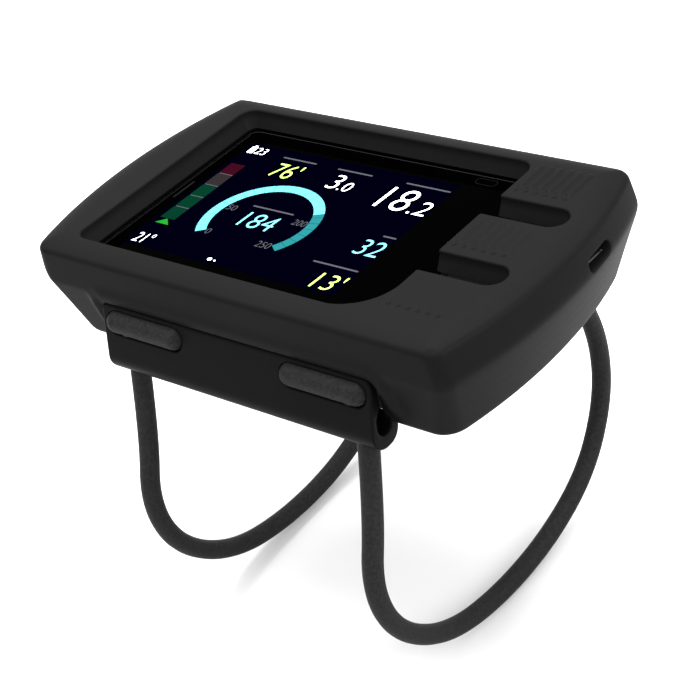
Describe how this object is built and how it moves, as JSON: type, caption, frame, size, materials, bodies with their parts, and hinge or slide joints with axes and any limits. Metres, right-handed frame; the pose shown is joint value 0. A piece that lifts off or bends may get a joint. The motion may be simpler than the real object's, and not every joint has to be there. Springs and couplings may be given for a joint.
{
  "type": "dive computer",
  "caption": "Wrist dive computer with a flat colour screen in a dark soft boot, push buttons under rubber pads, hung on round bungee loops from two side bars.",
  "frame": {"origin": "middle of the flat back face that rests on the forearm; the bungee loops hang below it", "axes": "+Z the way the screen faces, +X along the long side towards the buttons, +Y away from the wearer when the screen is read"},
  "size_m": [0.1092, 0.0845, 0.0881],
  "materials": {
    "silicone_skin": "fine matte silicone",
    "case_plastic": "fine matte",
    "bar_plastic": "fine satin texture",
    "button_plastic": "satin",
    "seal_rubber": "smooth",
    "steel": "machined",
    "window_glass": "polished",
    "bezel_trim": "gloss",
    "screen": "gloss, lit",
    "white_plastic": "matte",
    "chip": "matte moulding",
    "flex": "polyimide film",
    "board": "solder mask",
    "switch_metal": "stamped",
    "shield_can": "stamped",
    "brass": "satin",
    "cell_wrap": "foil wrap",
    "gold": "plated",
    "bungee": "braided sheath over rubber"
  },
  "bodies": {
    "computer": {"back_cover": "case_plastic", "backlight_plate": "white_plastic", "battery_cell": "cell_wrap", "battery_tray": "white_plastic", "bezel_ring": "bezel_trim", "board_screws": "steel", "boot": "silicone_skin", "button_seal_far": "seal_rubber", "button_seal_mid": "seal_rubber", "button_seal_near": "seal_rubber", "button_spring_far": "steel", "button_spring_mid": "steel", "button_spring_near": "steel", "buzzer": "brass", "case_seal": "seal_rubber", "charge_connector": "case_plastic", "charge_pins": "gold", "compass_module": "chip", "cover_glass": "window_glass", "cover_screws": "steel", "display_cable": "flex", "display_frame": "case_plastic", "display_module": "screen", "far_bar": "bar_plastic", "far_pin": "steel", "glass_gasket": "seal_rubber", "key_switches": "switch_metal", "left_loop": "bungee", "left_tuck_far": "bungee", "left_tuck_near": "bungee", "light_sensor": "chip", "main_board": "board", "near_bar": "bar_plastic", "near_pin": "steel", "pressure_sensor": "steel", "radio_antenna": "chip", "radio_module": "shield_can", "right_loop": "bungee", "right_tuck_far": "bungee", "right_tuck_near": "bungee", "sensor_guard": "case_plastic", "sensor_seal": "seal_rubber", "upper_case": "case_plastic"},
    "button_near_body": {"button_near": "button_plastic", "button_clip_near": "steel"},
    "button_mid_body": {"button_mid": "button_plastic", "button_clip_mid": "steel"},
    "button_far_body": {"button_far": "button_plastic", "button_clip_far": "steel"}
  },
  "joints": [
    {"name": "button_near_press", "type": "slide", "parent": "computer", "child": "button_near_body", "axis": [0, 0, -1], "range_m": [0, 0.0008], "stiffness_N_per_m": 1500, "springref_m": -0.0005, "deforming": ["button_spring_near"]},
    {"name": "button_mid_press", "type": "slide", "parent": "computer", "child": "button_mid_body", "axis": [0, 0, -1], "range_m": [0, 0.0008], "stiffness_N_per_m": 1500, "springref_m": -0.0005, "deforming": ["button_spring_mid"]},
    {"name": "button_far_press", "type": "slide", "parent": "computer", "child": "button_far_body", "axis": [0, 0, -1], "range_m": [0, 0.0008], "stiffness_N_per_m": 1500, "springref_m": -0.0005, "deforming": ["button_spring_far"]}
  ]
}
